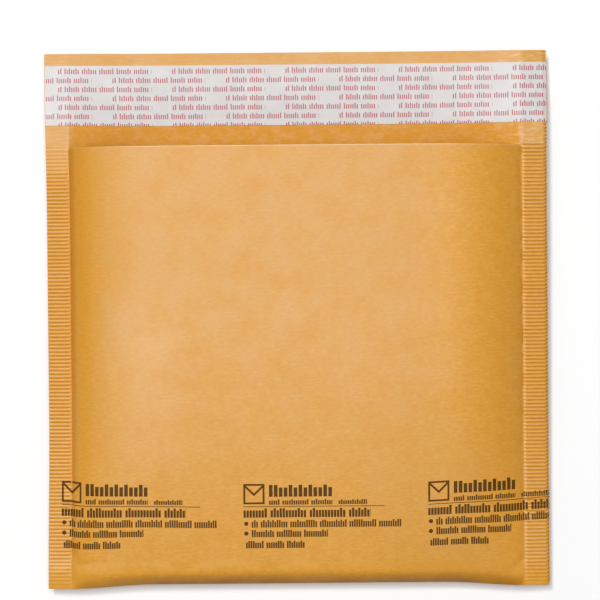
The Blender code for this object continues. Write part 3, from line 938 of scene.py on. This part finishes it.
in_pocket = map_value(tree, from_middle, *POCKET_END, 1.0, 0.0)
on_front = between(tree, along, FRONT_START, POUCH_LENGTH)
on_lip = calc(tree, "LESS_THAN", along, LIP_FOOT)
lip_turn = product(tree, in_pocket, map_value(tree, along, *STRIP_SHADE), on_lip)
# A darker tone over the left seam, and painted shade over the whole lip.
pressed_seam_and_shaded_lip = greatest(tree, map_value(tree, across, *LEFT_SEAM_EDGE, 0.8, 0.0), on_lip)
# Painted light towards the bottom of the front panel, which slopes away from the lamps.
low = product(
    tree,
    map_value(tree, along, 0.030, 0.125, 0.80, 0.0),
    map_value(tree, across, 0.020, 0.072, 1.0, 0.05),
    calc(tree, "GREATER_THAN", along, 0.0),
)
# Painted shade on the steep left side, where the pouch climbs out of its seam.
left_side = product(
    tree,
    map_value(tree, across, -0.0880, -0.0825, 0.75, 0.0),
    between(tree, across, -LEFT_POCKET, 0.0),
    on_front,
    map_value(tree, along, 0.060, 0.130, 0.45, 1.0),
)
# Painted light on the right bulge.
right_bulge_light = product(
    tree,
    span(tree, across, 0.045, 0.062, 0.078, 0.086),
    map_value(tree, along, 0.015, 0.080),
    0.75,
)
# Painted light along the right side of the pouch, which slopes away from the lamps.
right_side = product(tree, map_value(tree, across, 0.070, 0.084), in_pocket, on_front)
print("Masks done, with", len(tree.nodes), "nodes; the lip's tone starts at", round(LIP_FOOT, 4))

# %% Tones of those parts
KRAFT_PAINTED_LIGHT = (0.765, 0.362, 0.039)  # painted light, towards the bottom and on the right bulge
KRAFT_SEAM_AND_LIP_SHADE = (0.612, 0.294, 0.033)  # darker over the left seam, and painted shade over the whole lip
KRAFT_LIP = (0.690, 0.290, 0.034)  # where the lip turns up past the mouth
KRAFT_LEFT_SLOPE_SHADE = (0.632, 0.268, 0.022)  # painted shade on the steep side of the pouch, beside the left seam
KRAFT_RIGHT_SLOPE_LIGHT = (0.715, 0.332, 0.036)  # painted light on the right side, which faces away from the lamps

# Painted light and painted shade are laid on here, each from its mask above.
colour = blend(tree, low, colour, KRAFT_PAINTED_LIGHT)
colour = blend(tree, product(tree, pressed_seam_and_shaded_lip, 0.8), colour, KRAFT_SEAM_AND_LIP_SHADE)
colour = blend(tree, product(tree, lip_turn, 0.8), colour, KRAFT_LIP)
colour = blend(tree, map_value(tree, grain["Clouds"], 0.45, 0.70, 0.0, 0.30), colour, KRAFT_LIP)
colour = blend(tree, left_side, colour, KRAFT_LEFT_SLOPE_SHADE)
colour = blend(tree, right_bulge_light, colour, KRAFT_PAINTED_LIGHT)
colour = blend(tree, right_side, colour, KRAFT_RIGHT_SLOPE_LIGHT)
print("Tones laid over the pulp, now", len(tree.nodes), "nodes")

# %% [markdown]
# The grain comes after the tones, or they would cover it: dark fibres, small patches of deeper
# colour, and pale scuffs in the lip, which was bent most. Then come painted shade and a painted
# highlight: painted shade in the roll of the fold and painted shadows in the notches of the right
# edge, and a painted highlight on the ridge just above the fold.

# %% Fibres, patches and scuffs
KRAFT_FIBRE = (0.490, 0.195, 0.014)
KRAFT_DEEP = (0.640, 0.262, 0.010)
KRAFT_SCUFF = (0.800, 0.520, 0.200)  # bare fibre

colour = blend(tree, map_value(tree, grain["Fibres"], 0.35, 0.65, 0.0, 0.37), colour, KRAFT_FIBRE)
patches = noise_at(tree, vector, 210.0, 3.0)
colour = blend(tree, map_value(tree, patches, 0.42, 0.66, 0.0, 0.40), colour, KRAFT_DEEP)
scuff_noise = noise_at(tree, stretch(tree, vector, 0.30, 1.0), 900.0, 3.0)
scuffs = product(
    tree,
    map_value(tree, scuff_noise, 0.50, 0.64, 0.0, 0.40),
    map_value(tree, across, 0.074, 0.092, 0.15, 1.0),
    on_lip,
)
colour = blend(tree, scuffs, colour, KRAFT_SCUFF)
print("Grain laid over the tones, now", len(tree.nodes), "nodes")

# %% Painted shade in the fold and along the notched edge, and a painted highlight
KRAFT_RIDGE_HIGHLIGHT = (0.750, 0.400, 0.085)  # painted highlight, just above the bottom fold
FOLD_AND_NOTCH_SHADE = (0.340, 0.122, 0.007)  # painted shade in the fold and in the notches
FOLD_SHADE_SPAN, DULL_FOLD = (0.0008, 0.0050), (0.0008, 0.0120)
RIDGE = (0.0060, 0.0080, 0.0092, 0.0120)
NOTCH_SHADE = (0.10, 0.62)  # along a rib's pitch, a little longer than the notch itself
NOTCH_SHADE_WIDTH = 0.0010

uneven = noise_at(tree, stretch(tree, vector, 0.5, 1.0), 170.0, 2.0)
# A painted highlight on the ridge just above the fold.
ridge_highlight = product(
    tree,
    span(tree, along, *RIDGE),
    map_value(tree, uneven, 0.40, 0.56),
    map_value(tree, across, 0.000, 0.040, 1.0, 0.0),
    0.35,
)
colour = blend(tree, ridge_highlight, colour, KRAFT_RIDGE_HIGHLIGHT)
# Painted shade in the roll of the fold.
fold_shade = product(
    tree,
    map_value(tree, from_fold, *FOLD_SHADE_SPAN, 0.72, 0.0),
    map_value(tree, across, -0.084, -0.050, 0.40, 1.0),
    map_value(tree, uneven, 0.36, 0.62, 0.75, 1.15),
    in_pocket,
)
colour = blend(tree, fold_shade, colour, FOLD_AND_NOTCH_SHADE)
# Painted shadows in the notches along the right edge, one beside each rib.
beat = calc(tree, "FRACT", calc(tree, "DIVIDE", along, RIB_PITCH))
notch_shadow = product(
    tree,
    between(tree, beat, *NOTCH_SHADE),
    calc(tree, "GREATER_THAN", across, WIDTH / 2 - NOTCH_SHADE_WIDTH),
    calc(tree, "LESS_THAN", from_fold, POUCH_LENGTH + NOTCHED_LIP),
    0.95,
)
colour = blend(tree, notch_shadow, colour, FOLD_AND_NOTCH_SHADE)
colour = blend(tree, product(tree, grain["Flecks"], 0.25), colour, KRAFT_DARK)
print("Notches every", round(RIB_PITCH * 1000, 2), "mm, now", len(tree.nodes), "nodes")

# %% [markdown]
# The cut edge at the mouth shows pale bare fibre. Ink goes on last, as in the press. It is a
# dark brown and not black, because the kraft shows through it, and single fibres lift it a bit.

# %% The cut edge and the print
CUT_EDGE = (0.86, 0.72, 0.50)
INK = (0.078, 0.031, 0.004)

mouth_edge = map_value(tree, along, POUCH_LENGTH - 0.0005, POUCH_LENGTH - 0.0001)
bare = map_value(tree, from_middle, 0.060, 0.085, 0.45, 0.12)
colour = blend(tree, product(tree, mouth_edge, bare), colour, CUT_EDGE)
ink = place_group(tree, print_group, Across=across, Along=along)["Ink"]
covered = map_value(tree, grain["Fibres"], 0.30, 0.70, 1.0, 0.92)
colour = blend(tree, product(tree, ink, covered), colour, INK)
tree.links.new(colour, shader.inputs["Base Color"])
print("Colour done, with", len(tree.nodes), "nodes")

# %% [markdown]
# The sheen is what makes the full panel paler than its own pulp. We make it a rough clear coat
# whose weight varies from place to place, because an exported model keeps a coat's weight but
# not a varying specular level. It is weak in ink, in the fold and where the lip turns, and
# strong where the pouch pulls the sheet taut and where smooth jaws pressed the right seam.

# %% The sheen
LEAST_SHEEN = 0.15
COAT_ROUGHNESS, COAT_INDEX = 0.46, 1.7

dulled = greatest(
    tree,
    product(tree, ink, 0.75),
    product(tree, lip_turn, map_value(tree, patches, 0.42, 0.60, 0.50, 1.0)),
    product(tree, pressed_seam_and_shaded_lip, 0.12),
    map_value(tree, from_fold, *DULL_FOLD, 0.85, 0.0),
    product(tree, left_side, 0.8),
    product(tree, right_side, 0.15),
)
taut = product(
    tree,
    span(tree, across, -0.0875, -0.0790, -0.0600, -0.0450),
    span(tree, along, 0.035, 0.055, 0.100, 0.130),
    0.45,
)
jaw_shine = product(
    tree, map_value(tree, across, *POCKET_END), map_value(tree, along, 0.100, 0.175, 1.15, 1.45)
)
gloss = product(
    tree,
    map_value(tree, along, 0.035, 0.125, 0.78, 0.66),
    calc(tree, "ADD", 1.0, taut),
    greatest(tree, 1.0, jaw_shine),
    map_value(tree, grain["Clouds"], 0.36, 0.64, 1.10, 0.80),
    map_value(tree, dulled, 0.0, 1.0, 1.0, 0.0),
)
tree.links.new(map_value(tree, gloss, LEAST_SHEEN, 1.0), shader.inputs["Coat Weight"])
shader.inputs["Specular IOR Level"].default_value = LEAST_SHEEN
shader.inputs["Coat Roughness"].default_value = COAT_ROUGHNESS
shader.inputs["Coat IOR"].default_value = COAT_INDEX
clouded = map_value(tree, grain["Clouds"], 0.3, 0.7, 0.43, 0.50)
roughness = calc(tree, "ADD", clouded, product(tree, ink, 0.18))
tree.links.new(roughness, shader.inputs["Roughness"])
add_bump(tree, shader, grain["Fibres"], 0.35, 0.00004)
give_finish(paper, kraft)

# %% [markdown]
# ## Release paper, glue and film
#
# The release strip is white coated paper with rows of small red strokes, drawn by the same
# line group as the front's print. The glue is a pale tacky coat, dragged out along the lip. The
# film is clear, so most of what we see of it is its reflections: a true glass shader would show
# them too, but it would cost far more time than plain see-through film that thickens edge-on.

# %% The release strip's material
STRIP_WHITE = (0.632, 0.600, 0.588)
STRIP_GREY = (0.560, 0.538, 0.530)
STRIP_RED = (0.40, 0.045, 0.070)
ROW_PITCH, ROW_HEIGHT, ROW_FOOT = 0.00368, 0.0023, 0.0002
ROWS_BELOW_EDGE = 0.0012  # the strip was cut through its lowest row
PHRASE_PITCH, PHRASE, PHRASE_START, ODD_ROW_SHIFT = 0.0464, 0.038, 0.1896, 0.0244

coated, tree, shader = new_material("release_coated", 0.42)
vector, across, along = flat_places(tree)
grain = place_group(tree, paper_group, Place=vector, Cloud_scale=120.0, Fibre_scale=1400.0)
colour = blend(tree, map_value(tree, grain["Clouds"], 0.3, 0.7), STRIP_GREY, STRIP_WHITE)
rows = calc(tree, "DIVIDE", calc(tree, "SUBTRACT", along, STRIP_START - ROWS_BELOW_EDGE), ROW_PITCH)
up = product(tree, calc(tree, "FRACT", rows), ROW_PITCH)
odd = calc(tree, "MODULO", calc(tree, "FLOOR", rows), 2.0)
shifted = calc(tree, "ADD", calc(tree, "ADD", across, PHRASE_START), product(tree, odd, ODD_ROW_SHIFT))
in_phrase = calc(tree, "MODULO", shifted, PHRASE_PITCH)
words = place_group(
    tree, line_group, Across=in_phrase, Up=up, Start=0.0, End=PHRASE,
    Low=ROW_FOOT, High=ROW_FOOT + ROW_HEIGHT, Pitch=0.00088, Word=8.0, Weight=0.58, Seed=5.0,
)["Ink"]
colour = blend(tree, product(tree, words, 0.88), colour, STRIP_RED)
tree.links.new(colour, shader.inputs["Base Color"])
add_bump(tree, shader, grain["Clouds"], 0.2, 0.00003)
give_finish(strip, coated)

# %% The glue's material
GLUE_THIN, GLUE_THICK = (0.70, 0.58, 0.36), (0.88, 0.82, 0.64)

tacky, tree, shader = new_material("tacky_glue", 0.3)
vector, _, _ = flat_places(tree)
streaks = noise_at(tree, stretch(tree, vector, 1.0, 6.0), 90.0)
tree.links.new(blend(tree, streaks, GLUE_THIN, GLUE_THICK), shader.inputs["Base Color"])
tree.links.new(map_value(tree, streaks, 0.3, 0.7, 0.18, 0.40), shader.inputs["Roughness"])
give_finish(glue, tacky)

# %% The film's material
clear, tree, shader = new_material("clear_film", 0.14, (0.88, 0.90, 0.92))
places = tree.nodes.new("ShaderNodeTexCoord")
wrinkles = noise_at(tree, places.outputs["Object"], 260.0, 2.0)
edge_on = tree.nodes.new("ShaderNodeLayerWeight")
edge_on.inputs["Blend"].default_value = 0.45
tree.links.new(map_value(tree, edge_on.outputs["Facing"], 0.0, 0.9, 0.30, 0.85), shader.inputs["Alpha"])
add_bump(tree, shader, wrinkles, 0.4, 0.0003)
give_finish(film, clear)
